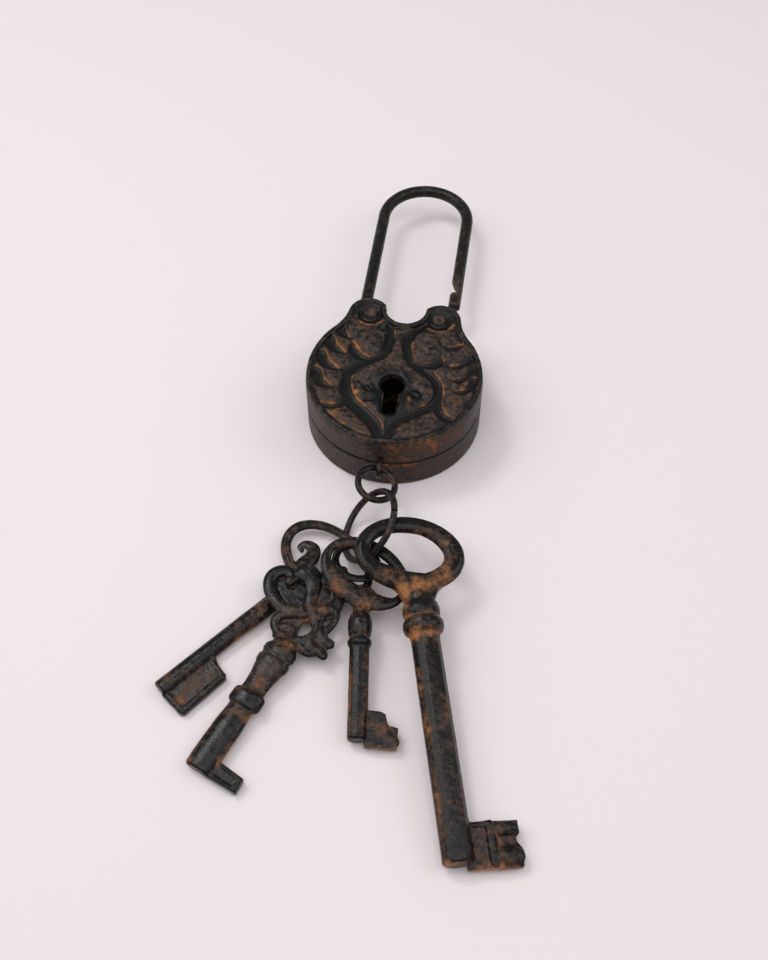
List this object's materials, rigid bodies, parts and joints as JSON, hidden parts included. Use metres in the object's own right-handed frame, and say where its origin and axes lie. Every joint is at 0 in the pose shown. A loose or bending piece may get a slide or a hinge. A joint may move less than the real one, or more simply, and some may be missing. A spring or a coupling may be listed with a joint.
{
  "type": "padlock with keys",
  "caption": "Round cast-iron padlock with scroll relief, a lifted swivelling shackle and warded keys hung on a wire ring from a staple in its rim.",
  "frame": {"origin": "centre of the round case on its flat rear face", "axes": "+X to the shackle's free leg, +Y from the case towards the shackle's bend, +Z out of the decorated front"},
  "size_m": [0.1259, 0.286, 0.0254],
  "materials": {
    "black_cast_iron": "worn black paint over rusted cast iron",
    "dark_iron_wire": "blackened iron, lightly rubbed",
    "dark_iron_fastener": "rusted iron",
    "oiled_steel": "oiled plain steel",
    "brass_ward": "dull brass"
  },
  "bodies": {
    "case": {"rear_case": "black_cast_iron", "front_case": "black_cast_iron", "lug_rivet_left": "dark_iron_fastener", "lug_rivet_right": "dark_iron_fastener", "base_screw": "dark_iron_fastener", "key_staple": "dark_iron_wire", "bolt_spring": "oiled_steel", "bolt_guide_pins": "oiled_steel", "cap_plate": "oiled_steel", "cap_plate_screws": "oiled_steel", "front_ward": "brass_ward", "rear_ward": "brass_ward", "key_guide_bush": "brass_ward"},
    "heel": {"heel_block": "dark_iron_fastener"},
    "shackle": {"shackle": "dark_iron_wire", "heel_washer": "dark_iron_fastener"},
    "bolt": {"locking_bolt": "oiled_steel"},
    "link": {"link_ring": "dark_iron_wire"},
    "ring": {"key_ring": "dark_iron_wire"},
    "big": {"big_key": "black_cast_iron"},
    "small": {"small_key": "black_cast_iron"},
    "ornate": {"ornate_key": "black_cast_iron"},
    "plain": {"plain_key": "black_cast_iron"}
  },
  "joints": [
    {"name": "shackle_lift", "type": "slide", "parent": "case", "child": "heel", "axis": [0, 1, 0], "range_m": [-0.036, 0]},
    {"name": "shackle_swivel", "type": "hinge", "parent": "heel", "child": "shackle", "pos_m": [-0.0172, 0.01875, 0.0127], "axis": [0, -1, 0], "range_deg": [0, 180]},
    {"name": "bolt_throw", "type": "slide", "parent": "case", "child": "bolt", "axis": [1, 0, 0], "range_m": [0, 0.0032]},
    {"name": "link_ring_swing", "type": "hinge", "parent": "case", "child": "link", "pos_m": [-0.0005, -0.03513, 0.0127], "axis": [-1, 0, 0], "range_deg": [0, 60]},
    {"name": "key_ring_swing", "type": "hinge", "parent": "link", "child": "ring", "pos_m": [-0.0005, -0.04852, 0.0125], "axis": [-1, 0, 0], "range_deg": [0, 40]},
    {"name": "big_key_swing", "type": "hinge", "parent": "ring", "child": "big", "pos_m": [0.00461, -0.06989, 0.0161], "axis": [0.0615, -0.0933, 0.9937], "range_deg": [0, 28]},
    {"name": "small_key_swing", "type": "hinge", "parent": "ring", "child": "small", "pos_m": [0.00076, -0.07186, 0.01155], "axis": [0.0162, -0.126, 0.9919], "range_deg": [-4, 4]},
    {"name": "ornate_key_swing", "type": "hinge", "parent": "ring", "child": "ornate", "pos_m": [-0.00223, -0.07143, 0.00819], "axis": [-0.0255, -0.0593, 0.9979], "range_deg": [-3, 4]},
    {"name": "plain_key_swing", "type": "hinge", "parent": "ring", "child": "plain", "pos_m": [-0.00597, -0.06839, 0.00422], "axis": [-0.0154, -0.019, 0.9997], "range_deg": [-15, 0]}
  ]
}
